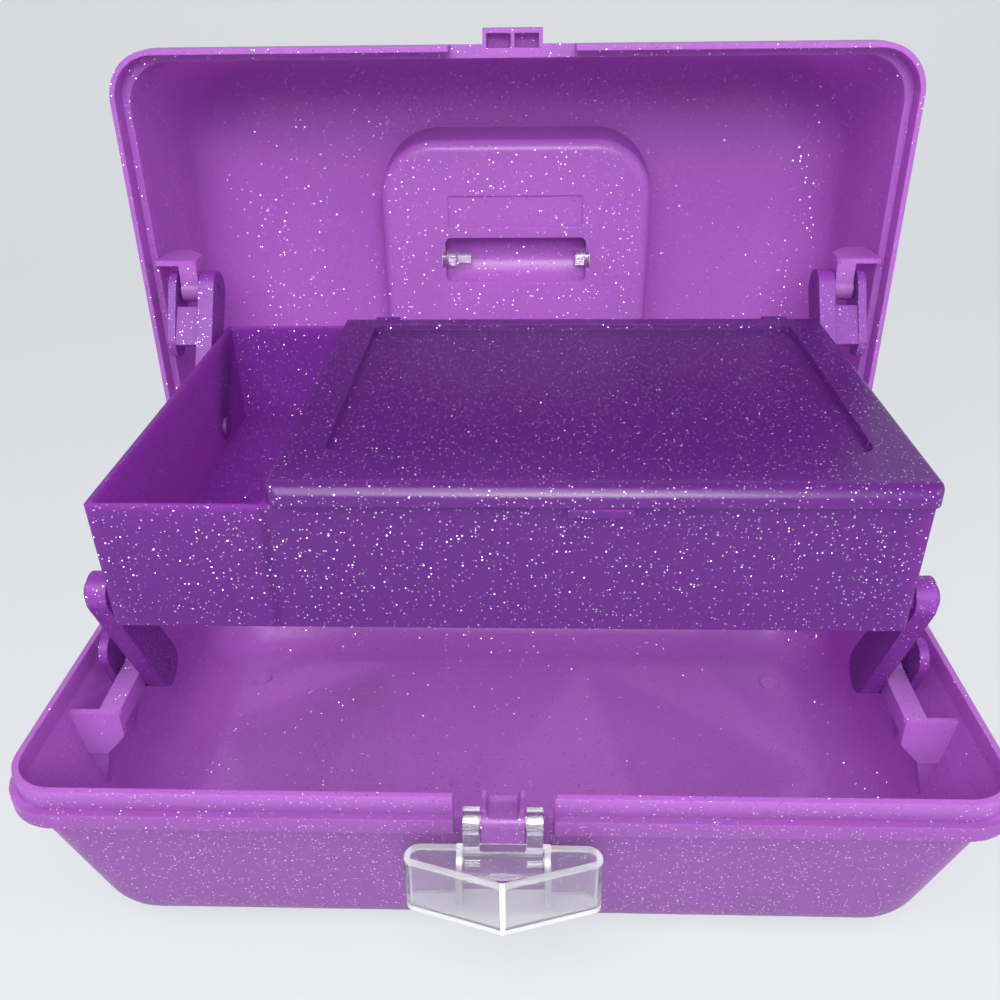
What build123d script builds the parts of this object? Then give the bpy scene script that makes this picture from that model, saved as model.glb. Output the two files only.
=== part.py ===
from build123d import *
import os
from math import atan2, cos, degrees, radians, sin, sqrt

# Makeup case: a lower tub, a hinged lid and a covered tray that four arms lift as the lid opens.
# The case stands open. +X runs along the case, +Z is up and the latch is on the front, at -Y.
# The origin is the centre of the flat underside. All lengths are in millimetres.

# Case
case_width = 330.0
case_depth = 202.0
base_height = 71.0
lid_height = 90.0
wall = 2.2
lid_open_angle = 90.0
overrun = 12.0

# Rim: an outside band on base and lid, and a lip on the base that enters a rebate in the lid
band_proud = 2.4
base_band_height = 6.5
lid_band_height = 10.5
band_edge = 0.9
rim_corner = 20.0
lip_height = 7.5
lip_gap = 0.3
rebate_height = 8.0

# Drafted walls, round lower edge of the tub and round upper edge of the lid
base_taper = 12.5
base_end_corner = 32.0
base_end_edge = 24.0
lid_taper = 6.0
lid_end_corner = 50.0
lid_end_edge = 30.0

# Raised discs on the floor of the tub
disc_radius = 4.6
disc_height = 1.5
disc_end_inset = 43.0
disc_front_inset = 49.0

# Rear hinge: two sets of knuckles on pins
knuckle_radius = 4.0
knuckle_gap = 0.4
knuckle_side_gap = 0.4
knuckle_x = 95.0
lid_knuckle_width = 12.0
base_knuckle_width = 7.0
hinge_pin_radius = 2.0

# Fits
pin_grip = 0.02
pin_running = 0.09
pin_end_gap = 0.2

# Arms
arm_length = 62.6
arm_lean = 28.6
arm_thickness = 7.0
arm_pin_radius = 2.5
arm_tip_radius = 7.0
barrel_radius = 8.5
barrel_bore = 6.2
barrel_cup_drop = 3.2
prong_thickness = 3.5
front_prong_length = 14.0
front_prong_end = 7.0
rear_prong_length = 24.0
rear_prong_end = 6.4
rear_web_start = 9.5
rear_web_end = 27.0
rear_web_front = 6.0
rear_web_thickness = 2.4

# Brackets that carry the arms on the end walls
base_pivot_drop = 5.0
lid_pivot_rise = 6.4
rail_thickness = 8.0
rail_gap = 1.0
prong_gap = 1.0
rail_half_height = 4.0
lug_radius = 5.0
base_rail_length = 30.0
lid_rail_length = 12.0
plate_thickness = 2.2
plate_rise = 3.0
plate_height = 20.0
plate_tip_height = 11.0
plate_corner = 2.5
rib_thickness = 2.0
rib_spacing = 30.0
rib_top_drop = 10.0
rib_height = 25.0
rib_reach = 2.0

# Tray
tray_end_room = 34.0
tray_front_room = 16.5
tray_height = 46.0
tray_wall = 1.8
tray_taper = 0.8
tray_corner = 1.5
left_compartment = 56.0
arm_gap = 2.5
boss_radius = 5.4
boss_gap = 0.2
tray_front_pivot_inset = 12.0
tray_rear_pivot_inset = 33.6
tray_pivot_rise = 6.0
rivet_head_radius = 4.0
rivet_head_thickness = 1.5
snap_width = 20.0
snap_reach = 1.6
snap_height = 3.0

# Tray cover
cover_left_step = 1.0
cover_right_overhang = 2.0
cover_front_overhang = 1.6
cover_rear_gap = 12.0
cover_gap = 0.6
cover_height = 7.0
cover_skin = 2.0
cover_front_round = 5.4
cover_side_round = 2.0
cover_panel_side = 14.5
cover_panel_front = 25.0
cover_panel_rear = 8.5
cover_panel_drop = 2.4
cover_panel_corner = 5.0
cover_pin_radius = 1.6
cover_knuckle_radius = 3.2
cover_knuckle_width = 5.0
cover_knuckle_inset = 18.0
cover_axis_inset = 8.5
cover_axis_rise = 3.6
ear_depth = 8.0

# Latch: boss, link and lever on the front
latch_notch_width = 32.0
latch_pivot_out = 4.0
latch_pivot_rise = 4.5
latch_boss_width = 13.6
latch_boss_radius = 3.0
latch_boss_drop = 6.5
latch_post_rise = 4.5
latch_recess_width = 10.8
latch_recess_floor_width = 9.0
latch_recess_rise = 2.5
latch_pin_radius = 1.8
link_arm_inside = 7.2
link_arm_outside = 12.4
link_head_radius = 4.2
link_thickness = 3.2
link_set_out = 2.0
link_length = 22.5
link_bar_start = 9.5
lever_pin_drop = 15.5
lever_pin_radius = 1.4
lever_width = 62.0
lever_top_rise = 3.6
lever_bottom_drop = 17.6
lever_back = 3.5
lever_side_front = 4.0
lever_nose = 13.5
lever_wall = 2.0
lever_back_corner = 5.0
lever_side_corner = 3.0
lever_nose_corner = 1.6
lever_bar_radius = 1.3
lever_bar_back = 3.1
lever_bar_rise = 2.6
lever_lug_thickness = 2.0
lever_lug_gap = 0.4
lever_lug_radius = 2.8

# Catch and notch on the front of the lid
catch_width = 24.4
catch_reach = 5.5
catch_rise = 9.8
catch_height = 8.0
catch_wall = 1.6
catch_pocket_depth = 6.0
lid_notch_width = 51.0
lid_notch_height = 9.4

# Handle well in the top of the lid
well_width = 134.0
well_length = 116.0
well_depth = 31.0
well_corner = 29.0
well_taper = 2.0
well_edge = 5.0
tunnel_width = 69.0
tunnel_length = 22.0
tunnel_corner = 3.0
outline_width = 65.0
outline_length = 15.0
outline_front = 16.0
outline_drop = 0.7

# Handle
handle_axis_rise = 4.0
collar_radius = 4.0
collar_reach = 5.0
tip_radius = 2.6
tip_reach = 7.5
eye_radius = 3.7
foot_gap = 0.5
foot_width = 9.0
handle_end_room = 10.0
handle_reach = 51.0
handle_flare = 22.0
handle_section = 12.0
handle_thickness = 10.0
handle_outer_corner = 18.0
handle_inner_corner = 9.0
handle_edge = 2.6

# Places that follow from the sizes
body_width = case_width - 2 * band_proud
body_depth = case_depth - 2 * band_proud
body_corner = rim_corner - band_proud
cavity_width = body_width - 2 * wall
cavity_depth = body_depth - 2 * wall
cavity_corner = body_corner - wall
rim_z = base_height
lid_top_z = rim_z + lid_height
front_y = -case_depth / 2
body_front_y = -body_depth / 2
hinge_y = case_depth / 2 + knuckle_gap + knuckle_radius

# The tray fits between the ends and between the front and rear of the closed case
tray_width = case_width - 2 * tray_end_room
tray_depth = case_depth - 2 * tray_front_room
tray_side = tray_width / 2
pivot_spacing = tray_depth - tray_front_pivot_inset - tray_rear_pivot_inset

# Arms: the front ones stand on the base, the rear ones hang on the lid, and all have one length
arm_y = -arm_length * sin(radians(arm_lean))
arm_z = arm_length * cos(radians(arm_lean))
base_pivot_y = hinge_y - pivot_spacing
base_pivot_z = rim_z - base_pivot_drop
tray_front_pivot_y = base_pivot_y + arm_y
tray_front_pivot_z = base_pivot_z + arm_z
tray_rear_pivot_y = hinge_y + arm_y
tray_rear_pivot_z = rim_z + arm_z
lid_run_y = -cos(radians(lid_open_angle))
lid_run_z = sin(radians(lid_open_angle))
arm_on_run = lid_run_y * arm_y + lid_run_z * arm_z
arm_on_depth = lid_run_z * arm_y - lid_run_y * arm_z
lid_pivot_run = arm_on_run + sqrt(arm_on_run**2 - lid_pivot_rise**2 + 2 * lid_pivot_rise * arm_on_depth)
lid_pivot_y = hinge_y - lid_pivot_run
lid_pivot_z = rim_z + lid_pivot_rise
open_pivot_y = hinge_y + lid_pivot_run * lid_run_y + lid_pivot_rise * lid_run_z
open_pivot_z = rim_z + lid_pivot_run * lid_run_z - lid_pivot_rise * lid_run_y
rear_arm_turn = degrees(atan2(open_pivot_y - tray_rear_pivot_y, tray_rear_pivot_z - open_pivot_z))

# Layers along X at each end, from the tray outwards
arm_inside = tray_side + arm_gap
arm_outside = arm_inside + arm_thickness
rail_inside = arm_outside + rail_gap
rail_outside = rail_inside + rail_thickness
prong_inside = rail_outside + prong_gap
prong_outside = prong_inside + prong_thickness

# Tray and cover
tray_front = tray_front_pivot_y - tray_front_pivot_inset
tray_rear = tray_front + tray_depth
tray_bottom = tray_front_pivot_z - tray_pivot_rise
tray_top = tray_bottom + tray_height
tray_divider_x = left_compartment - tray_side
cover_left = tray_divider_x + cover_left_step
cover_right = tray_side + cover_right_overhang
cover_front = tray_front - cover_front_overhang
cover_rear = tray_rear - cover_rear_gap
cover_bottom = tray_top + cover_gap
cover_top = cover_bottom + cover_height
cover_axis_y = tray_rear - cover_axis_inset
cover_axis_z = tray_top + cover_axis_rise
snap_x = (cover_left + cover_right) / 2

# Latch
latch_y = front_y - latch_pivot_out
latch_z = rim_z + latch_pivot_rise
lever_y = latch_y - link_set_out
lever_z = latch_z - lever_pin_drop
lever_lug_inside = link_arm_outside + lever_lug_gap
lever_lug_outside = lever_lug_inside + lever_lug_thickness

# Handle: its collars turn in the end walls of a tunnel that stands on the well's floor
well_floor = lid_top_z - well_depth
handle_z = well_floor + handle_axis_rise
handle_half_width = well_width / 2 - handle_end_room
tunnel_end = tunnel_width / 2 + wall
foot_inside = tunnel_end + foot_gap
foot_outside = foot_inside + foot_width


def block(x0, x1, y0, y1, z0, z1):
    """A box between two corners."""
    return Pos((x0 + x1) / 2, (y0 + y1) / 2, (z0 + z1) / 2) * Box(x1 - x0, y1 - y0, z1 - z0)


def rod(radius, x0, x1, y, z):
    """A round bar along X."""
    return Pos((x0 + x1) / 2, y, z) * Rot(0, 90, 0) * Cylinder(radius, x1 - x0)


def slab(face, x0, x1):
    """A flat outline, drawn with Y across and Z up, made solid from x0 to x1."""
    return Pos(x0, 0, 0) * extrude(Plane.YZ * face, x1 - x0)


def on_side(shape, side):
    """The right-hand shape, or its mirror image for the left."""
    return shape if side == "right" else mirror(shape, about=Plane.YZ)


def opened(shape):
    """A piece of the closed lid, swung to where the lid stands open."""
    return Pos(0, hinge_y, rim_z) * Rot(-lid_open_angle, 0, 0) * Pos(0, -hinge_y, -rim_z) * shape


def tub(width, depth, corner, taper, end_corner, end_edge, height):
    """A drafted block: a smaller end with a round edge at z = 0, full size at z = height."""
    end = RectangleRounded(width - 2 * taper, depth - 2 * taper, end_corner)
    mouth = Pos(0, 0, height) * RectangleRounded(width, depth, corner)
    body = loft(Sketch() + [end, mouth])
    return fillet(body.faces().sort_by(Axis.Z)[0].edges(), end_edge)


def prism(width, depth, corner, z0, z1):
    """An upright block with round corners."""
    return Pos(0, 0, z0) * extrude(RectangleRounded(width, depth, corner), z1 - z0)


def bracket(rail_length):
    """A right-hand bracket with its pin at y = z = 0: cross plate on the end wall, rail and lug."""
    plate_y = -rail_length
    plate_low = plate_rise - plate_height
    outline = make_face(
        Polyline(
            (rail_inside, plate_rise),
            (case_width / 2, plate_rise),
            (case_width / 2, plate_low),
            (rail_outside, plate_low),
            (rail_inside, plate_rise - plate_tip_height),
            close=True,
        )
    )
    tips = outline.vertices().sort_by(Axis.X)[:2]
    plate = extrude(Plane.XZ * fillet(tips, plate_corner), plate_thickness)
    rail = make_face(
        Polyline(
            (0, rail_half_height),
            (plate_y, plate_rise),
            (plate_y, plate_rise - 2 * rail_half_height),
            (0, -rail_half_height),
            close=True,
        )
    )
    lug = rod(lug_radius, rail_inside, rail_outside, 0, 0)
    return Pos(0, plate_y, 0) * plate + slab(rail, rail_inside, rail_outside) + lug


def hull_plate(radius, end_radius, length, x0, x1):
    """A plate along +Z with round ends about y = z = 0 and about z = length."""
    ends = Circle(radius) + Pos(0, length) * Circle(end_radius)
    return slab(make_hull(ends.edges()), x0, x1)


def arm_bores():
    """The two holes of an arm: for the bracket's pin and for the tray's rivet."""
    bore = arm_pin_radius + pin_running
    through = rod(bore, arm_inside - overrun, prong_outside + overrun, 0, 0)
    return through + rod(bore, arm_inside - overrun, arm_outside + overrun, 0, arm_length)


def make_front_arm():
    """Front arm, upright: a long plate, a short outer prong and a cup that joins them round the lug."""
    plate = hull_plate(barrel_radius, arm_tip_radius, arm_length, arm_inside, arm_outside)
    prong = hull_plate(barrel_radius, front_prong_end, front_prong_length, prong_inside, prong_outside)
    cup = rod(barrel_radius, arm_outside, prong_inside, 0, 0)
    cup -= rod(barrel_bore, arm_outside, prong_inside, 0, 0)
    cup -= block(arm_outside, prong_inside, -overrun, overrun, -barrel_cup_drop, overrun)
    return plate + prong + cup - arm_bores()


def make_rear_arm():
    """Rear arm, upright: a long plate and an outer prong joined by a web behind the fork."""
    plate = hull_plate(barrel_radius, arm_tip_radius, arm_length, arm_inside, arm_outside)
    prong = hull_plate(barrel_radius, rear_prong_end, rear_prong_length, prong_inside, prong_outside)
    web = block(
        arm_outside, prong_inside, rear_web_front - rear_web_thickness, rear_web_front,
        rear_web_start, rear_web_end,
    )
    return plate + prong + web - arm_bores()


def knuckles(offsets, width, z0, z1, bore):
    """Knuckles behind the case at the given places along X, each with a foot on the band."""
    made = Part()
    for x in offsets:
        x0 = x - width / 2
        x1 = x + width / 2
        foot = block(x0, x1, case_depth / 2 - band_proud, hinge_y, z0, z1)
        made += foot + rod(knuckle_radius, x0, x1, hinge_y, rim_z)
    for x in offsets:
        made -= rod(bore, x - width, x + width, hinge_y, rim_z)
    return made


def make_base():
    """Lower tub with band, lip, arm brackets, ribs, floor discs, hinge knuckles and latch boss."""
    outer = tub(body_width, body_depth, body_corner, base_taper, base_end_corner, base_end_edge, rim_z)
    band = prism(case_width, case_depth, rim_corner, rim_z - base_band_height, rim_z)
    band = fillet(band.faces().sort_by(Axis.Z)[0].edges(), band_edge)
    lip = prism(body_width, body_depth, body_corner, rim_z, rim_z + lip_height)
    cavity = Pos(0, 0, wall) * tub(
        cavity_width, cavity_depth, cavity_corner, base_taper,
        base_end_corner - wall, base_end_edge - wall, rim_z - wall,
    )
    cavity += prism(cavity_width, cavity_depth, cavity_corner, rim_z, rim_z + lip_height)
    shell = outer + band + lip - cavity

    fittings = Pos(0, base_pivot_y, base_pivot_z) * bracket(base_rail_length)
    rib_top = base_pivot_z - rib_top_drop
    for number in (-1, 0, 1):
        rib = make_face(
            Polyline(
                (rail_outside - rib_reach, rib_top),
                (case_width / 2, rib_top),
                (case_width / 2, rib_top - rib_height),
                (prong_outside, rib_top - rib_height),
                close=True,
            )
        )
        rib_y = base_pivot_y + number * rib_spacing
        fittings += Pos(0, rib_y, 0) * extrude(Plane.XZ * rib, rib_thickness / 2, both=True)
    fittings -= rod(arm_pin_radius + pin_grip, arm_inside, prong_outside, base_pivot_y, base_pivot_z)
    fittings = fittings & outer
    shell += fittings + mirror(fittings, about=Plane.YZ)
    disc_x = case_width / 2 - disc_end_inset
    disc_y = case_depth / 2 - disc_front_inset
    for x in (-disc_x, disc_x):
        for y in (-disc_y, disc_y):
            shell += Pos(x, y, wall) * Cylinder(disc_radius, 2 * disc_height)

    pitch = (lid_knuckle_width + base_knuckle_width) / 2 + knuckle_side_gap
    places = [side * knuckle_x + end * pitch for side in (-1, 1) for end in (-1, 1)]
    shell += knuckles(places, base_knuckle_width, rim_z - knuckle_radius, rim_z, hinge_pin_radius + pin_grip)

    notch = latch_notch_width / 2
    shell -= block(-notch, notch, front_y - overrun, body_front_y, rim_z - base_band_height, rim_z + overrun)
    shell -= block(-notch, notch, front_y - overrun, front_y + overrun, rim_z, rim_z + overrun)
    half = latch_boss_width / 2
    back = body_front_y + wall
    boss = block(-half, half, latch_y - latch_boss_radius, back, latch_z - latch_boss_drop, latch_z)
    boss += block(-half, half, latch_y, back, latch_z, latch_z + latch_post_rise)
    boss += rod(latch_boss_radius, -half, half, latch_y, latch_z)
    recess_half = latch_recess_width / 2
    floor_half = latch_recess_floor_width / 2
    recess = make_face(
        Polyline(
            (-floor_half, latch_z + latch_recess_rise),
            (floor_half, latch_z + latch_recess_rise),
            (recess_half, latch_z + latch_post_rise),
            (recess_half, latch_z + latch_post_rise + overrun),
            (-recess_half, latch_z + latch_post_rise + overrun),
            (-recess_half, latch_z + latch_post_rise),
            close=True,
        )
    )
    boss -= Pos(0, back, 0) * extrude(Plane.XZ * recess, overrun, both=True)
    return shell + boss - rod(latch_pin_radius + pin_grip, -notch, notch, latch_y, latch_z)


def make_lid():
    """Closed lid with band, rebate, arm brackets, catch, handle well and hinge knuckles."""
    upright = Pos(0, 0, lid_top_z) * Rot(180, 0, 0)
    outer = upright * tub(
        body_width, body_depth, body_corner, lid_taper, lid_end_corner, lid_end_edge, lid_height,
    )
    band = prism(case_width, case_depth, rim_corner, rim_z, rim_z + lid_band_height)
    band = fillet(band.faces().sort_by(Axis.Z)[-1].edges(), band_edge)
    cavity = upright * Pos(0, 0, wall) * tub(
        cavity_width, cavity_depth, cavity_corner, lid_taper,
        lid_end_corner - wall, lid_end_edge - wall, lid_height - wall,
    )
    rebate_top = rim_z + rebate_height
    rebate = prism(
        body_width + 2 * lip_gap, body_depth + 2 * lip_gap, body_corner + lip_gap, rim_z, rebate_top,
    )
    shell = outer + band - cavity - rebate

    boss_face = well_floor - wall
    boss = Pos(0, 0, boss_face) * tub(
        well_width, well_length, well_corner, well_taper,
        well_corner - well_taper, well_edge, well_depth + wall,
    )
    inside_width = well_width - 2 * wall
    inside_length = well_length - 2 * wall
    inside_corner = well_corner - wall
    well = Pos(0, 0, well_floor) * tub(
        inside_width, inside_length, inside_corner, well_taper,
        inside_corner - well_taper, well_edge - wall, well_depth,
    )
    well += prism(inside_width, inside_length, inside_corner, lid_top_z, lid_top_z + overrun)
    shell = shell + boss - well
    half = tunnel_width / 2
    arch = tunnel_length / 2
    hump = rod(arch + wall, -tunnel_end, tunnel_end, 0, boss_face)
    shell += hump & block(-tunnel_end, tunnel_end, -case_depth, case_depth, boss_face, lid_top_z)
    pocket = prism(tunnel_width, tunnel_length, tunnel_corner, boss_face - overrun, lid_top_z)
    shell -= rod(arch, -half, half, 0, boss_face) & pocket
    slot = collar_radius + pin_running
    for x0, x1 in ((-tunnel_end, wall - half), (half - wall, tunnel_end)):
        shell -= rod(slot, x0, x1, 0, handle_z) + block(x0, x1, -slot, slot, boss_face - overrun, handle_z)
    outline = outline_width / 2
    outline_back = -outline_front - outline_length
    shell -= block(
        -outline, outline, outline_back, -outline_front,
        boss_face - overrun, boss_face + outline_drop,
    )

    fittings = Pos(0, lid_pivot_y, lid_pivot_z) * mirror(bracket(lid_rail_length), about=Plane.XY)
    fittings -= rod(arm_pin_radius + pin_grip, arm_inside, prong_outside, lid_pivot_y, lid_pivot_z)
    lip_space = rebate - prism(
        cavity_width - 2 * lip_gap, cavity_depth - 2 * lip_gap, cavity_corner - lip_gap, rim_z, rebate_top,
    )
    fittings = (fittings & outer) - lip_space
    shell += fittings + mirror(fittings, about=Plane.YZ)

    catch_z = rim_z + catch_rise
    catch_top = catch_z + catch_height
    catch_front = front_y - catch_reach
    side = catch_width / 2
    shell += block(-side, side, catch_front, body_front_y + wall, catch_z, catch_top)
    notch = lid_notch_width / 2
    shell -= block(
        -notch, notch, front_y - overrun, front_y + overrun,
        rim_z - overrun, rim_z + lid_notch_height,
    )
    for x0, x1 in ((-side + catch_wall, -catch_wall / 2), (catch_wall / 2, side - catch_wall)):
        shell -= block(
            x0, x1, catch_front + catch_wall, body_front_y - catch_wall / 2,
            rim_z, catch_z + catch_pocket_depth,
        )
    places = (-knuckle_x, knuckle_x)
    bore = hinge_pin_radius + pin_running
    return shell + knuckles(places, lid_knuckle_width, rim_z, rim_z + knuckle_radius, bore)


def make_handle():
    """Handle folded into the well of the closed lid: a flared loop with collars that enter the tunnel."""
    grip = handle_reach - handle_section
    inside = handle_half_width - handle_section
    outer = make_face(
        Polyline(
            (-foot_outside, 0),
            (-handle_half_width, handle_flare),
            (-handle_half_width, handle_reach),
            (handle_half_width, handle_reach),
            (handle_half_width, handle_flare),
            (foot_outside, 0),
            close=True,
        )
    )
    outer = fillet(outer.vertices().filter_by(lambda v: v.Y > 0), handle_outer_corner)
    inner = make_face(
        Polyline(
            (-foot_inside, -overrun),
            (-foot_inside, 0),
            (-inside, handle_flare),
            (-inside, grip),
            (inside, grip),
            (inside, handle_flare),
            (foot_inside, 0),
            (foot_inside, -overrun),
            close=True,
        )
    )
    inner = fillet(inner.vertices().filter_by(lambda v: v.Y > 0), handle_inner_corner)
    loop = extrude(outer - inner, handle_thickness)
    rims = loop.faces().sort_by(Axis.Z)
    loop = fillet(rims[0].edges() + rims[-1].edges(), handle_edge)
    low = handle_z - eye_radius
    made = Pos(0, 0, low) * loop
    for x0, x1 in ((-foot_outside, -foot_inside), (foot_inside, foot_outside)):
        made += rod(eye_radius, x0, x1, 0, handle_z)
        made += block(x0, x1, -eye_radius, handle_edge, handle_z, low + handle_thickness)
        made += block(x0, x1, 0, handle_edge, low, handle_z)
    start = tunnel_width / 2 - collar_reach
    collar = rod(collar_radius, start, foot_inside, 0, handle_z)
    made += collar + mirror(collar, about=Plane.YZ)
    return made + rod(tip_radius, -start, tip_reach - start, 0, handle_z)


def make_tray():
    """Tray with one divider, pivot bosses, ears for the cover's pins and a snap for the cover."""
    middle = Pos(0, (tray_front + tray_rear) / 2, tray_bottom)

    def pan(inset, z0):
        drafted = inset + tray_taper
        low = RectangleRounded(tray_width - 2 * drafted, tray_depth - 2 * drafted, tray_corner)
        high = RectangleRounded(tray_width - 2 * inset, tray_depth - 2 * inset, tray_corner)
        return middle * loft(Sketch() + [Pos(0, 0, z0) * low, Pos(0, 0, tray_height) * high])

    inside = pan(tray_wall, tray_wall)
    divider = block(
        tray_divider_x - tray_wall / 2, tray_divider_x + tray_wall / 2,
        tray_front, tray_rear, tray_bottom, tray_top,
    )
    ears = Part()
    for x0, x1 in cover_ears:
        ear = rod(cover_knuckle_radius, x0, x1, cover_axis_y, cover_axis_z)
        ear += block(
            x0, x1, cover_axis_y - cover_knuckle_radius, tray_rear - tray_wall / 2,
            tray_top - ear_depth, cover_axis_z,
        )
        ears += ear - rod(cover_pin_radius + pin_grip, x0, x1, cover_axis_y, cover_axis_z)
    tray = pan(0, 0) - inside + (divider & inside) + ears
    for y, z in tray_pivots:
        boss = rod(boss_radius, tray_side - tray_wall, arm_inside - boss_gap, y, z)
        hole = rod(arm_pin_radius + pin_grip, tray_side - overrun, tray_side + overrun, y, z)
        tray = tray + boss + mirror(boss, about=Plane.YZ) - hole - mirror(hole, about=Plane.YZ)
    tray += block(
        snap_x - snap_width / 2, snap_x + snap_width / 2, tray_front - snap_reach, tray_front + tray_wall,
        tray_top - snap_height, tray_top,
    )
    return tray


def make_cover():
    """Flap over the tray's right compartment: round front edge, sunk panel, hollow underside."""
    cover = block(cover_left, cover_right, cover_front, cover_rear, cover_bottom, cover_top)
    upper = cover.faces().sort_by(Axis.Z)[-1].edges().sort_by(Axis.Y)
    cover = fillet(upper[1:], cover_side_round)
    nose = cover.faces().sort_by(Axis.Y)[0].edges().sort_by(Axis.Z)[-1]
    cover = fillet(nose, cover_front_round)
    x0 = cover_left + cover_panel_side
    x1 = cover_right - cover_panel_side
    y0 = cover_front + cover_panel_front
    y1 = cover_rear - cover_panel_rear
    floor = cover_top - cover_panel_drop
    panel = RectangleRounded(x1 - x0, y1 - y0, cover_panel_corner)
    cover -= Pos((x0 + x1) / 2, (y0 + y1) / 2, floor) * extrude(panel, overrun)
    hollow = block(
        cover_left + cover_skin, cover_right - cover_skin,
        cover_front + cover_front_round, cover_rear - cover_skin,
        cover_bottom - overrun, cover_top - cover_skin,
    )
    hollow -= block(
        x0 - cover_skin, x1 + cover_skin, y0 - cover_skin, y1 + cover_skin, floor - cover_skin, cover_top,
    )
    cover -= hollow
    for x0, x1 in cover_lugs:
        lug = rod(cover_knuckle_radius, x0, x1, cover_axis_y, cover_axis_z)
        lug += block(
            x0, x1, cover_rear - cover_skin, cover_axis_y,
            cover_bottom, cover_axis_z + cover_knuckle_radius,
        )
        cover += lug - rod(cover_pin_radius + pin_running, x0, x1, cover_axis_y, cover_axis_z)
    return cover


def make_link():
    """Latch link: two arms that hang from the boss pin, joined by a bar."""
    y0 = lever_y - link_thickness / 2
    y1 = lever_y + link_thickness / 2
    low = latch_z - link_length
    link = block(-link_arm_outside, link_arm_outside, y0, y1, low, latch_z - link_bar_start)
    for x0, x1 in ((-link_arm_outside, -link_arm_inside), (link_arm_inside, link_arm_outside)):
        link += rod(link_head_radius, x0, x1, latch_y, latch_z) + block(x0, x1, y0, y1, low, latch_z)
        link -= rod(lever_pin_radius + pin_grip, x0, x1, lever_y, lever_z)
    bore = latch_pin_radius + pin_running
    return link - rod(bore, -link_arm_outside, link_arm_outside, latch_y, latch_z)


def make_lever():
    """Latch lever: a pointed box open at the top, with a gap in its back, a cross bar and two lugs."""
    half = lever_width / 2
    outline = make_face(
        Polyline(
            (-half, lever_back),
            (half, lever_back),
            (half, -lever_side_front),
            (0, -lever_nose),
            (-half, -lever_side_front),
            close=True,
        )
    )
    outline = fillet(outline.vertices().sort_by(Axis.Y)[0], lever_nose_corner)
    sides = outline.vertices().filter_by(lambda v: v.Y < 0 and abs(v.X) > half / 2)
    outline = fillet(sides, lever_side_corner)
    outline = fillet(outline.vertices().filter_by(lambda v: v.Y > 0), lever_back_corner)
    hollow = offset(outline, -lever_wall)
    low = lever_z - lever_bottom_drop
    high = lever_z + lever_top_rise
    lever = Pos(0, lever_y, low) * extrude(outline, high - low)
    lever -= Pos(0, lever_y, low + lever_wall) * extrude(hollow, high - low)
    lever -= block(
        -lever_lug_inside, lever_lug_inside, lever_y, lever_y + overrun, low + lever_wall, high,
    )
    bar_half = lever_lug_outside
    lever += rod(lever_bar_radius, -bar_half, bar_half, lever_y + lever_bar_back, lever_z + lever_bar_rise)
    for x0, x1 in ((-lever_lug_outside, -lever_lug_inside), (lever_lug_inside, lever_lug_outside)):
        lug = rod(lever_lug_radius, x0, x1, lever_y, lever_z)
        lug += block(
            x0, x1, lever_y - lever_lug_radius, lever_y + lever_lug_radius,
            low + lever_wall / 2, lever_z,
        )
        lever += lug - rod(lever_pin_radius + pin_running, x0, x1, lever_y, lever_z)
    return lever


def make_rivet(y, z):
    """Right-hand rivet through the tray's end wall and an arm, with a head at each end."""
    inner = tray_side - tray_taper - tray_wall
    outer = arm_outside + pin_end_gap
    shaft = rod(arm_pin_radius, inner - rivet_head_thickness, outer + rivet_head_thickness, y, z)
    shaft += rod(rivet_head_radius, inner - rivet_head_thickness, inner, y, z)
    return shaft + rod(rivet_head_radius, outer, outer + rivet_head_thickness, y, z)


tray_pivots = ((tray_front_pivot_y, tray_front_pivot_z), (tray_rear_pivot_y, tray_rear_pivot_z))
cover_ears = (
    (cover_left + cover_knuckle_inset - cover_knuckle_width, cover_left + cover_knuckle_inset),
    (cover_right - cover_knuckle_inset, cover_right - cover_knuckle_inset + cover_knuckle_width),
)
cover_lugs = (
    (cover_ears[0][1] + knuckle_side_gap, cover_ears[0][1] + knuckle_side_gap + cover_knuckle_width),
    (cover_ears[1][0] - knuckle_side_gap - cover_knuckle_width, cover_ears[1][0] - knuckle_side_gap),
)

nodes = {
    "base_tub": make_base(),
    "lid_shell": opened(make_lid()),
    "handle": opened(make_handle()),
    "tray_body": make_tray(),
    "tray_cover": make_cover(),
    "latch_link": make_link(),
    "latch_lever": make_lever(),
    "latch_pivot_pin": rod(latch_pin_radius, -link_arm_outside, link_arm_outside, latch_y, latch_z),
}

lever_pin = rod(lever_pin_radius, link_arm_inside, lever_lug_outside, lever_y, lever_z)
nodes["latch_lever_pins"] = lever_pin + mirror(lever_pin, about=Plane.YZ)

front_arm = Pos(0, base_pivot_y, base_pivot_z) * Rot(arm_lean, 0, 0) * make_front_arm()
rear_arm = Pos(0, open_pivot_y, open_pivot_z) * Rot(rear_arm_turn, 0, 0) * make_rear_arm()
pin_start = arm_inside + pin_end_gap
pin_end = prong_outside - pin_end_gap
hinge_half = lid_knuckle_width / 2 + knuckle_side_gap + base_knuckle_width
right_hand = {
    "front_arm": front_arm,
    "rear_arm": rear_arm,
    "base_arm_pin": rod(arm_pin_radius, pin_start, pin_end, base_pivot_y, base_pivot_z),
    "lid_arm_pin": rod(arm_pin_radius, pin_start, pin_end, open_pivot_y, open_pivot_z),
    "tray_front_rivet": make_rivet(*tray_pivots[0]),
    "tray_rear_rivet": make_rivet(*tray_pivots[1]),
    "lid_hinge_pin": rod(hinge_pin_radius, knuckle_x - hinge_half, knuckle_x + hinge_half, hinge_y, rim_z),
}
for side in ("left", "right"):
    for name, shape in right_hand.items():
        nodes[f"{name}_{side}"] = on_side(shape, side)
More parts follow.
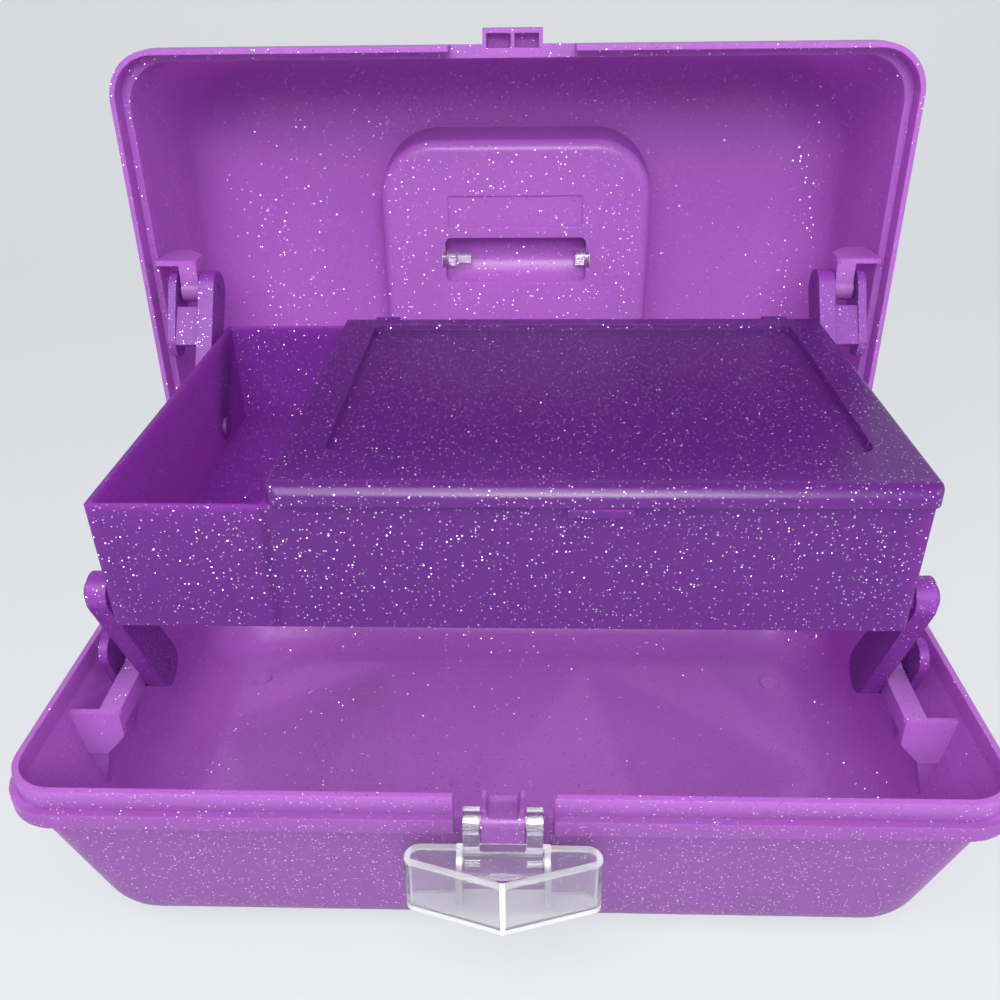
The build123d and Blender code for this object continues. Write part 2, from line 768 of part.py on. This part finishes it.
cover_pin_ends = {
    "left": (cover_ears[0][0], cover_lugs[0][1]),
    "right": (cover_lugs[1][0], cover_ears[1][1]),
}
for side, (x0, x1) in cover_pin_ends.items():
    nodes[f"cover_pin_{side}"] = rod(cover_pin_radius, x0, x1, cover_axis_y, cover_axis_z)

os.makedirs("parts", exist_ok=True)
for name, shape in nodes.items():
    export_step(shape, f"parts/{name}.step")
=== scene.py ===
import math

import bpy
from mathutils import Matrix, Vector


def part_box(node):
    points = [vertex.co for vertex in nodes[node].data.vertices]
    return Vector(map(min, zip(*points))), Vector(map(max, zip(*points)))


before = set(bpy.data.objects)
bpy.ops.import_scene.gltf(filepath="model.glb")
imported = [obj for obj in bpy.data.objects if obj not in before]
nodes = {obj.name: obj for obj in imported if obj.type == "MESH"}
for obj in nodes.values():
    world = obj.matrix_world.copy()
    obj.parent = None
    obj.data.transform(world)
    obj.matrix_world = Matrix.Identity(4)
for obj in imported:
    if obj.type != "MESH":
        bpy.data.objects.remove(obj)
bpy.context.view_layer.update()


# Base tub: one injection-moulded shell of translucent purple plastic with silver glitter in the mix.
# Band, lip, arm brackets, ribs and floor discs come out of the same mould, so one material runs
# through all of it. The outside of its front wall gets a painted shade, a deeper tone.
class Shade:
    """An output of a shader node; an expression on it adds Math nodes to the same tree."""

    def __init__(self, tree, socket=None):
        self.tree = tree
        self.socket = socket

    def node(self, kind, settings=None, inputs=None, output=0):
        """Adds a node, sets it up, feeds its inputs and returns one of its outputs."""
        made = self.tree.nodes.new(kind)
        for key, value in (settings or {}).items():
            if key == "stops":
                ramp = made.color_ramp.elements
                while len(ramp) < len(value):
                    ramp.new(1)
                for element, (position, colour) in zip(ramp, value):
                    element.position = position
                    element.color = colour
            else:
                setattr(made, key, value)
        for key, value in (inputs or {}).items():
            if isinstance(value, Shade):
                self.tree.links.new(value.socket, made.inputs[key])
            else:
                made.inputs[key].default_value = value
        return Shade(self.tree, made.outputs[output]) if made.outputs else None

    def out(self, name):
        """Another output of the same node."""
        return Shade(self.tree, self.socket.node.outputs[name])

    def maths(self, operation, first, second):
        """One Math node."""
        return self.node("ShaderNodeMath", {"operation": operation}, {0: first, 1: second})

    def __add__(self, other):
        return self.maths("ADD", self, other)

    def __radd__(self, other):
        return self.maths("ADD", other, self)

    def __sub__(self, other):
        return self.maths("SUBTRACT", self, other)

    def __rsub__(self, other):
        return self.maths("SUBTRACT", other, self)

    def __mul__(self, other):
        return self.maths("MULTIPLY", self, other)

    def __rmul__(self, other):
        return self.maths("MULTIPLY", other, self)

    def __lt__(self, other):
        return self.maths("LESS_THAN", self, other)

    def __gt__(self, other):
        return self.maths("GREATER_THAN", self, other)


def new_tree(name):
    """An empty material and the Shade that its nodes start from."""
    material = bpy.data.materials.new(name)
    material.use_nodes = True
    material.node_tree.nodes.clear()
    return material, Shade(material.node_tree)


def blend(start, share, first, second):
    """A colour between two colours."""
    return start.node(
        "ShaderNodeMix", {"data_type": "RGBA"}, {"Factor": share, 6: first, 7: second}, output=2,
    )


def darker(colour, share):
    """A share of a colour, still opaque."""
    return [share * part for part in colour[:3]] + [1]


def glitter_plastic(name, tint, deep, glow, through, satin, painted_shade=None, painted_shade_depth=0.35):
    """Translucent purple plastic: cloudy tint, satin grain, tilted silver flakes under the skin.

    An optional function gives the places that get a painted shade, a deeper tone than the rest.
    """
    flake_pitch = 0.0011
    flake_reach = 0.30
    flake_lean = 1.3
    flake_metal = 0.85
    flake_polish = 0.12
    flake_dull = (0.60, 0.42, 0.72, 1)
    flake_bright = (0.97, 0.93, 1.00, 1)
    middle_grey = (0.5, 0.5, 0.5)
    cloud_size = 0.07
    grain_size = 0.0004
    grain_strength = 0.10
    grain_depth = 0.0002
    edge_radius = 0.0006
    corner_shade_reach = 0.012
    corner_shade_share = 0.5
    corner_shade_depth = 0.35
    plastic_ior = 1.49
    material, start = new_tree(name)
    place = start.node("ShaderNodeTexCoord", output="Object")
    cell = start.node("ShaderNodeTexVoronoi", {}, {"Vector": place, "Scale": 1 / flake_pitch})
    chance = start.node("ShaderNodeSeparateColor", {}, {"Color": cell.out("Color")})
    flake = cell < chance * flake_reach
    silver = blend(start, chance.out("Green"), flake_dull, flake_bright)
    cloud = start.node(
        "ShaderNodeTexNoise", {},
        {"Vector": place, "Scale": 1 / cloud_size, "Detail": 2, "Roughness": 0.5},
    )
    grain = start.node(
        "ShaderNodeTexNoise", {},
        {"Vector": place, "Scale": 1 / grain_size, "Detail": 1, "Roughness": 0.4},
    )
    colour = blend(start, cloud, tint, deep)
    # Painted shade: the colour goes deeper in corners and hollows, found by an ambient occlusion node.
    open_share = start.node(
        "ShaderNodeAmbientOcclusion", {"samples": 1}, {"Distance": corner_shade_reach}, output="AO",
    )
    colour = blend(start, (1 - open_share) * corner_shade_share, colour, darker(deep, corner_shade_depth))
    # Painted shade: a deeper tone at the places that the optional function gives.
    if painted_shade:
        axis = start.node("ShaderNodeSeparateXYZ", {}, {"Vector": place})
        colour = blend(start, painted_shade(axis), colour, darker(deep, painted_shade_depth))
    colour = blend(start, flake, colour, silver)
    edge = start.node("ShaderNodeBevel", {"samples": 2}, {"Radius": edge_radius})
    lean = start.node(
        "ShaderNodeVectorMath", {"operation": "SUBTRACT"}, {0: cell.out("Color"), 1: middle_grey},
    )
    lean = start.node(
        "ShaderNodeVectorMath", {"operation": "SCALE"}, {0: lean, "Scale": flake * flake_lean},
    )
    facet = start.node("ShaderNodeVectorMath", {"operation": "ADD"}, {0: edge, 1: lean})
    facet = start.node("ShaderNodeVectorMath", {"operation": "NORMALIZE"}, {0: facet})
    skin = start.node(
        "ShaderNodeBump", {},
        {"Strength": grain_strength, "Distance": grain_depth, "Height": grain, "Normal": facet},
    )
    solid = start.node(
        "ShaderNodeBsdfPrincipled", {},
        {"Base Color": colour, "Roughness": satin - flake * flake_polish, "Metallic": flake * flake_metal,
         "Normal": skin, "IOR": plastic_ior},
    )
    lit = start.node("ShaderNodeBsdfTranslucent", {}, {"Color": glow})
    mixed = start.node("ShaderNodeMixShader", {}, {"Fac": through - flake * through, 1: solid, 2: lit})
    start.node("ShaderNodeOutputMaterial", {}, {"Surface": mixed})
    return material


def painted_front_shade(axis):
    """Painted shade on the outside of the base's front wall, which leans in towards the floor: a deeper tone.
    """
    taper = 0.2217
    outer_y = -0.0829
    inner_y = -0.0812
    front_shade_share = 0.50
    outward = axis.out("Y") + axis.out("Z") * taper
    return axis.node(
        "ShaderNodeMapRange", {"interpolation_type": "SMOOTHSTEP"},
        {"Value": outward, "From Min": outer_y, "From Max": inner_y, "To Min": front_shade_share, "To Max": 0.0},
    )


def dress(names, material):
    """Gives CAD nodes their finish."""
    for name in names:
        nodes[name].data.materials.clear()
        nodes[name].data.materials.append(material)


base_plastic = glitter_plastic(
    "base_glitter_plastic", tint=(0.470, 0.180, 0.590, 1), deep=(0.410, 0.145, 0.530, 1),
    glow=(0.84, 0.28, 0.92, 1), through=0.42, satin=0.32, painted_shade=painted_front_shade,
)
dress(["base_tub"], base_plastic)


# Lid shell: moulded in the same plastic as the base, with the handle well sunk into its top. It stands
# open on two rear hinges.
# Its tint is a little deeper than the base's: lit and shaded copies of one plastic, a painted shade.
lid_plastic = glitter_plastic(
    "lid_glitter_plastic", tint=(0.450, 0.165, 0.570, 1), deep=(0.390, 0.130, 0.510, 1),
    glow=(0.84, 0.28, 0.92, 1), through=0.42, satin=0.32,
)
dress(["lid_shell"], lid_plastic)


# Hinge pins: two lengths of plain drawn steel wire, pushed through the knuckles of lid and base.
# The drawing leaves fine streaks along them.
def drawn_steel():
    """Drawn wire: fine streaks along the pin."""
    streaks_per_metre = (60, 4000, 4000)
    steel_dark = (0.50, 0.50, 0.52, 1)
    steel_pale = (0.70, 0.70, 0.72, 1)
    smooth = 0.25
    streak_drag = 0.2
    material, start = new_tree("drawn_steel_wire")
    place = start.node("ShaderNodeTexCoord", output="Object")
    along = start.node("ShaderNodeMapping", {}, {"Vector": place, "Scale": streaks_per_metre})
    streak = start.node("ShaderNodeTexNoise", {}, {"Vector": along, "Scale": 1, "Detail": 2})
    colour = blend(start, streak, steel_dark, steel_pale)
    metal = start.node(
        "ShaderNodeBsdfPrincipled", {},
        {"Base Color": colour, "Metallic": 1.0, "Roughness": smooth + streak * streak_drag},
    )
    start.node("ShaderNodeOutputMaterial", {}, {"Surface": metal})
    return material


dress(["lid_hinge_pin_left", "lid_hinge_pin_right"], drawn_steel())


# Arms: four flat moulded levers that carry the tray, two on the base's brackets and two on the lid's.
# They turn on pins and rivets of the same purple plastic, and so does the tray's cover.
arm_plastic = glitter_plastic(
    "arm_glitter_plastic", tint=(0.230, 0.040, 0.350, 1), deep=(0.190, 0.030, 0.300, 1),
    glow=(0.70, 0.26, 0.84, 1), through=0.25, satin=0.40,
)
arm_nodes = [f"{end}_arm_{side}" for end in ("front", "rear") for side in ("left", "right")]
pin_kinds = ("base_arm_pin", "lid_arm_pin", "tray_front_rivet", "tray_rear_rivet", "cover_pin")
pin_nodes = [f"{kind}_{side}" for kind in pin_kinds for side in ("left", "right")]
dress(arm_nodes + pin_nodes, arm_plastic)


# Tray: a thin straight-walled box with one divider, of glitter plastic in a deeper purple that is partly
# painted shade. It hangs on the four arms; the divider shows through its front wall as a painted shadow.
def divider_shadow(axis):
    """A painted shadow: a soft dark line on the front wall where the divider stands behind it."""
    divider_x = -0.075
    half_width = 0.0024
    front_depth = 0.004
    line_share = 0.7
    front_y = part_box("tray_body")[0][1] + front_depth
    aside = axis.node("ShaderNodeMath", {"operation": "ABSOLUTE"}, {0: axis - divider_x})
    line = axis.node(
        "ShaderNodeMapRange", {"interpolation_type": "SMOOTHSTEP"},
        {"Value": aside, "From Min": 0.0, "From Max": half_width, "To Min": line_share, "To Max": 0.0},
    )
    return line * (axis.out("Y") < front_y)


tray_plastic = glitter_plastic(
    "tray_glitter_plastic", tint=(0.155, 0.036, 0.250, 1), deep=(0.120, 0.026, 0.210, 1),
    glow=(0.80, 0.26, 0.92, 1), through=0.55, satin=0.34, painted_shade=divider_shadow, painted_shade_depth=0.4,
)
dress(["tray_body"], tray_plastic)


# Tray cover: a moulded flap of glitter plastic with a sunk panel, hinged at the tray's rear wall. It
# gets the deepest purple of the case, a darker copy of the plastic that is partly painted shade.
cover_plastic = glitter_plastic(
    "cover_glitter_plastic", tint=(0.110, 0.019, 0.180, 1), deep=(0.085, 0.014, 0.150, 1),
    glow=(0.66, 0.22, 0.84, 1), through=0.35, satin=0.27,
)
dress(["tray_cover"], cover_plastic)


# Latch link, its pins and the handle: clear polished plastic, moulded apart and snapped in place.
# The surface is a little wavy, as thick clear mouldings are.
def clear_plastic(name, painted_highlights=None):
    """Clear moulded plastic; an optional function gives the places that get painted highlights, a whiter
    finish.
    """
    wave_size = 0.011
    wave_strength = 0.15
    wave_depth = 0.0006
    edge_radius = 0.0007
    clear_cool = (0.92, 0.93, 0.95, 1)
    clear_white = (0.98, 0.98, 1.00, 1)
    polish = 0.03
    wave_haze = 0.05
    highlight_roughness = 0.35
    highlight_clear = 0.3
    plastic_ior = 1.49
    material, start = new_tree(name)
    place = start.node("ShaderNodeTexCoord", output="Object")
    wave = start.node("ShaderNodeTexNoise", {}, {"Vector": place, "Scale": 1 / wave_size, "Detail": 1})
    edge = start.node("ShaderNodeBevel", {"samples": 2}, {"Radius": edge_radius})
    skin = start.node(
        "ShaderNodeBump", {},
        {"Strength": wave_strength, "Distance": wave_depth, "Height": wave, "Normal": edge},
    )
    colour = blend(start, wave, clear_cool, clear_white)
    finish = start.node(
        "ShaderNodeBsdfPrincipled", {},
        {"Base Color": colour, "Roughness": polish + wave * wave_haze, "Normal": skin,
         "Transmission Weight": 0.97, "IOR": plastic_ior},
    )
    # Painted highlights: a whiter, rougher, less clear finish mixed in where the function asks for it.
    if painted_highlights:
        white = start.node(
            "ShaderNodeBsdfPrincipled", {},
            {"Base Color": colour, "Roughness": highlight_roughness, "Normal": skin,
             "Transmission Weight": highlight_clear, "IOR": plastic_ior},
        )
        share = painted_highlights(start.node("ShaderNodeSeparateXYZ", {}, {"Vector": place}))
        finish = start.node("ShaderNodeMixShader", {}, {"Fac": share, 1: finish, 2: white})
    start.node("ShaderNodeOutputMaterial", {}, {"Surface": finish})
    return material


dress(["latch_link", "latch_lever_pins", "latch_pivot_pin", "handle"], clear_plastic("clear_moulded_plastic"))


# Latch lever: the same clear plastic, moulded with a pointed front and hung on the link by two pins.
# Its floor, rim, lugs and nose edge look white in the light, so they get painted highlights there.
def lever_painted_highlights(axis):
    """The places of the lever with painted highlights, from its outline in the frame."""
    floor_thickness = 0.0022
    floor_white = 0.60
    rim_thickness = 0.0010
    rim_white = 0.35
    nose_half = 0.0008
    nose_reach = 0.004
    nose_white = 0.70
    lug_inside = 0.0127
    lug_outside = 0.0149
    lug_behind = 0.0098
    lug_white = 0.45
    low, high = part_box("latch_lever")
    across = axis.node("ShaderNodeMath", {"operation": "ABSOLUTE"}, {0: axis})
    floor = axis.out("Z") < low[2] + floor_thickness
    rim = axis.out("Z") > high[2] - rim_thickness
    nose = (across < nose_half) * (axis.out("Y") < low[1] + nose_reach)
    lug = (across > lug_inside) * (across < lug_outside) * (axis.out("Y") > low[1] + lug_behind)
    level = axis.maths("MAXIMUM", floor * floor_white, rim * rim_white)
    upright = axis.maths("MAXIMUM", nose * nose_white, lug * lug_white)
    return axis.maths("MAXIMUM", level, upright)


dress(["latch_lever"], clear_plastic("clear_plastic_painted_highlights", lever_painted_highlights))


# Stage: a pale paper sweep under and behind the case. It looks pale to the camera, in gloss and through
# the clear plastic, and still takes the case's shadow.
def make_sweep():
    """A floor that curves up into a backdrop."""
    half_width = 2.5
    front = -2.5
    bend_start = 0.75
    bend_radius = 0.6
    bend_steps = 16
    wall_top = 2.2
    paper_light = (0.62, 0.63, 0.65, 1)
    paper_dark = (0.58, 0.59, 0.61, 1)
    pale_white = (0.77, 0.80, 0.82, 1)
    pale_share = 0.72
    profile = [(front, 0.0), (bend_start, 0.0)]
    for step in range(1, bend_steps + 1):
        turn = math.radians(90 * step / bend_steps)
        profile.append((bend_start + bend_radius * math.sin(turn), bend_radius * (1 - math.cos(turn))))
    profile.append((bend_start + bend_radius, wall_top))
    points = [(x, y, z) for y, z in profile for x in (-half_width, half_width)]
    faces = [(2 * i, 2 * i + 1, 2 * i + 3, 2 * i + 2) for i in range(len(profile) - 1)]
    mesh = bpy.data.meshes.new("sweep")
    mesh.from_pydata(points, [], faces)
    mesh.polygons.foreach_set("use_smooth", [True] * len(faces))
    sweep = bpy.data.objects.new("sweep", mesh)
    bpy.context.scene.collection.objects.link(sweep)
    material, start = new_tree("pale_sweep")
    place = start.node("ShaderNodeTexCoord", output="Object")
    mottle = start.node("ShaderNodeTexNoise", {}, {"Vector": place, "Scale": 3, "Detail": 3})
    colour = blend(start, mottle, paper_light, paper_dark)
    paper = start.node("ShaderNodeBsdfPrincipled", {}, {"Base Color": colour, "Roughness": 0.9})
    ray = start.node("ShaderNodeLightPath", output="Is Camera Ray")
    seen = ray + ray.out("Is Glossy Ray") + ray.out("Is Transmission Ray")
    pale = start.node("ShaderNodeEmission", {}, {"Color": pale_white, "Strength": 1.0})
    mixed = start.node("ShaderNodeMixShader", {}, {"Fac": seen * pale_share, 1: paper, 2: pale})
    start.node("ShaderNodeOutputMaterial", {}, {"Surface": mixed})
    mesh.materials.append(material)


make_sweep()


# Light: a soft key above the camera, a wider fill higher up and a weak one at the right, all aimed at
# the middle of the case, under an even dome.
def make_lamp(name, place, aim, size, watts):
    """A round soft lamp that faces a point."""
    lamp = bpy.data.lights.new(name, "AREA")
    lamp.shape = "DISK"
    lamp.size = size
    lamp.energy = watts
    holder = bpy.data.objects.new(name, lamp)
    holder.matrix_world = Matrix.Translation(place) @ (
        (Vector(aim) - Vector(place)).to_track_quat("-Z", "Y").to_matrix().to_4x4()
    )
    bpy.context.scene.collection.objects.link(holder)


case_middle = (0, 0.03, 0.12)
make_lamp("key", place=(0.10, -1.10, 0.80), aim=case_middle, size=0.55, watts=12)
make_lamp("fill_high", place=(-0.15, -0.80, 1.10), aim=case_middle, size=1.1, watts=20)
make_lamp("fill_right", place=(1.1, -0.5, 0.7), aim=case_middle, size=0.8, watts=5)


def make_world():
    """An even dome, brighter towards the horizon than overhead."""
    horizon = (0.25, 0.26, 0.27, 1)
    overhead = (0.10, 0.11, 0.12, 1)
    world = bpy.data.worlds.new("studio")
    world.use_nodes = True
    world.node_tree.nodes.clear()
    start = Shade(world.node_tree)
    way = start.node("ShaderNodeTexCoord", output="Generated")
    height = start.node("ShaderNodeSeparateXYZ", {}, {"Vector": way}, output="Z")
    dome = start.node("ShaderNodeValToRGB", {"stops": [(0.0, horizon), (1.0, overhead)]}, {"Fac": height})
    sky = start.node("ShaderNodeBackground", {}, {"Color": dome, "Strength": 1.0})
    start.node("ShaderNodeOutputWorld", {}, {"Surface": sky})
    bpy.context.scene.world = world


make_world()
bpy.context.scene.view_settings.view_transform = "Standard"


# Camera: a near view from the front and a little above, close enough for strong perspective. Its place
# and turn come from the case's rims, lid and tray.
def make_camera():
    """Looks down at the case, turned a little to the left and rolled slightly."""
    eye = Vector((0.0085, -0.3250, 0.30965))
    pitch = math.radians(28.85)
    yaw = math.radians(-2.1)
    roll = math.radians(-0.8)
    ahead = Vector((math.sin(yaw) * math.cos(pitch), math.cos(yaw) * math.cos(pitch), -math.sin(pitch)))
    right = Vector((math.cos(yaw), -math.sin(yaw), 0))
    up = right.cross(ahead)
    across = math.cos(roll) * right + math.sin(roll) * up
    upward = -math.sin(roll) * right + math.cos(roll) * up
    turn = Matrix((across, upward, -ahead)).transposed().to_4x4()
    lens = bpy.data.cameras.new("camera")
    lens.sensor_width = 36
    lens.lens = 35.77
    lens.clip_start = 0.01
    camera = bpy.data.objects.new("camera", lens)
    camera.matrix_world = Matrix.Translation(eye) @ turn
    bpy.context.scene.collection.objects.link(camera)
    bpy.context.scene.camera = camera


make_camera()
